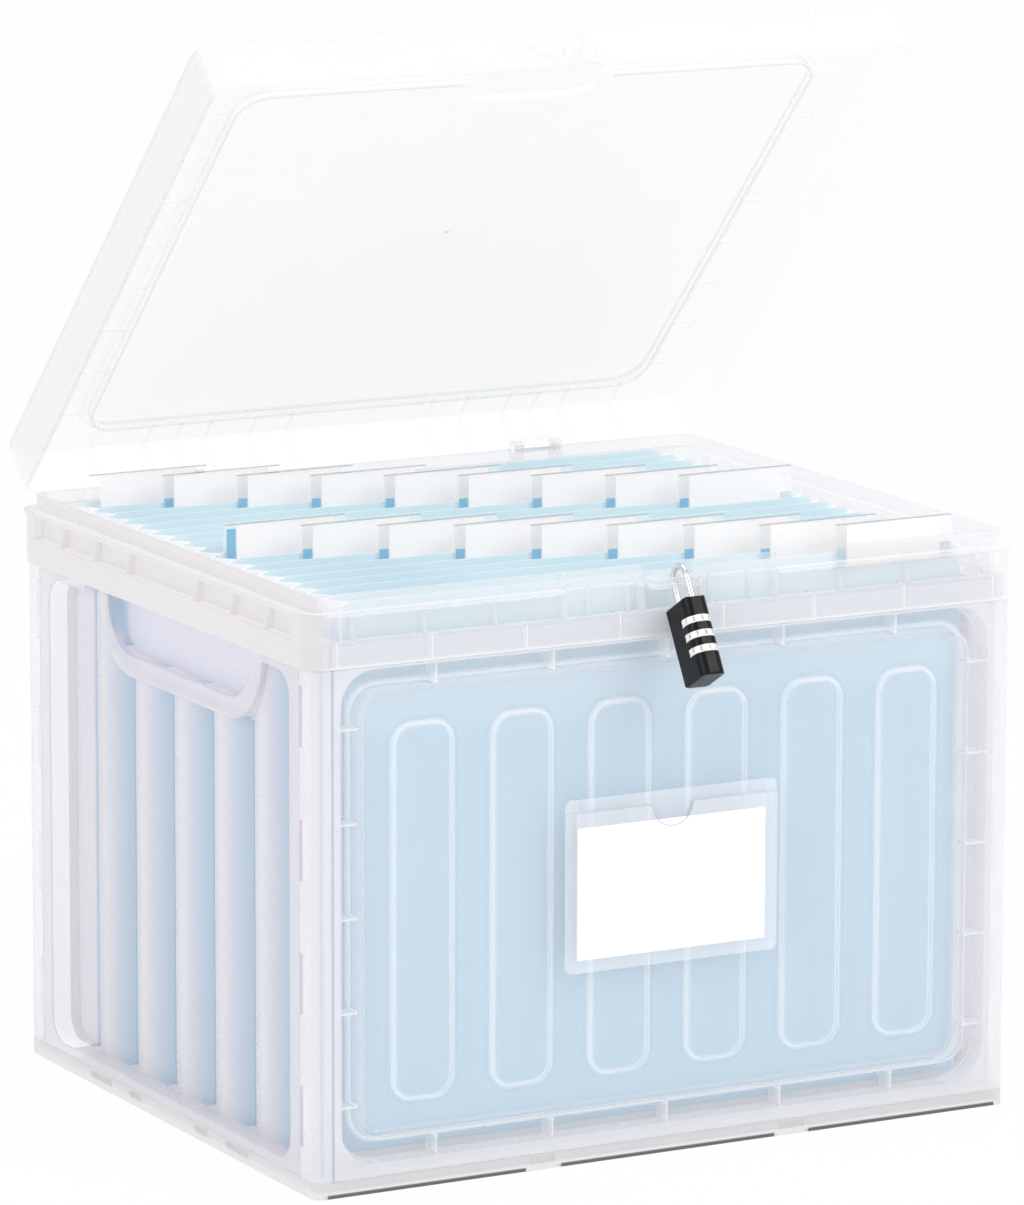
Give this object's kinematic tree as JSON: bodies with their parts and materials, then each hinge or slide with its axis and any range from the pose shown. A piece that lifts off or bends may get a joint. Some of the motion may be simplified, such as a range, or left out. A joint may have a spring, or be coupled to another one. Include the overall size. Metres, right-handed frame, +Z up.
{
  "type": "portable file box",
  "caption": "Clear lidded box with an expanding file inside, side handle cups, a label pocket and a dial padlock on the rim's eye.",
  "frame": {"origin": "middle of the flat underside, on the floor", "axes": "+Z up; the front, with the label pocket and the padlock, faces -Y; +X is the right-hand side seen from the front"},
  "size_m": [0.372, 0.3578, 0.5101],
  "materials": {
    "clear_plastic": "translucent, moulded, fine frosting",
    "lid_plastic": "translucent, moulded, nearly clear",
    "milky_plastic": "translucent, milky",
    "clear_film": "clear film",
    "white_card": "smooth white card",
    "blue_sheet": "fine-textured light blue sheet",
    "pale_fold": "pale folded sheet",
    "steel_pin": "drawn wire",
    "lock_steel": "polished",
    "black_case": "black, satin",
    "dial_white": "white, satin"
  },
  "bodies": {
    "box": {"base_tray": "milky_plastic", "front_panel": "clear_plastic", "back_panel": "clear_plastic", "left_panel": "clear_plastic", "right_panel": "clear_plastic", "rim_frame": "clear_plastic", "hinge_pins": "steel_pin", "label_sleeve": "clear_film", "label_card": "white_card", "file_base": "blue_sheet", "file_front_cover": "blue_sheet", "file_back_cover": "blue_sheet", "file_dividers": "blue_sheet", "file_gusset_left": "pale_fold", "file_gusset_right": "pale_fold", "back_row_tabs": "clear_film", "front_row_tabs": "clear_film", "back_row_cards": "white_card", "front_row_cards": "white_card"},
    "lid": {"lid": "lid_plastic"},
    "shackle": {"shackle": "lock_steel"},
    "lock_case": {"lock_case": "black_case", "dial_spindle": "steel_pin"},
    "upper_dial": {"dial_upper": "dial_white"},
    "middle_dial": {"dial_middle": "dial_white"},
    "lower_dial": {"dial_lower": "dial_white"}
  },
  "joints": [
    {"name": "lid_hinge", "type": "hinge", "parent": "box", "child": "lid", "pos_m": [0, 0.1574, 0.2724], "axis": [-1, 0, 0], "range_deg": [-46, 64]},
    {"name": "padlock_swing", "type": "hinge", "parent": "box", "child": "shackle", "pos_m": [0.002, -0.15596, 0.2682], "axis": [-1, 0, 0], "range_deg": [0, 60]},
    {"name": "shackle_release", "type": "slide", "parent": "shackle", "child": "lock_case", "axis": [0, -0.5, -0.866], "range_m": [0, 0.007]},
    {"name": "upper_dial_turn", "type": "hinge", "parent": "lock_case", "child": "upper_dial", "pos_m": [0.002, -0.17067, 0.25152], "axis": [0, 0.5, 0.866], "continuous": true},
    {"name": "middle_dial_turn", "type": "hinge", "parent": "lock_case", "child": "middle_dial", "pos_m": [0.002, -0.17422, 0.24537], "axis": [0, 0.5, 0.866], "continuous": true},
    {"name": "lower_dial_turn", "type": "hinge", "parent": "lock_case", "child": "lower_dial", "pos_m": [0.002, -0.17777, 0.23922], "axis": [0, 0.5, 0.866], "continuous": true}
  ]
}
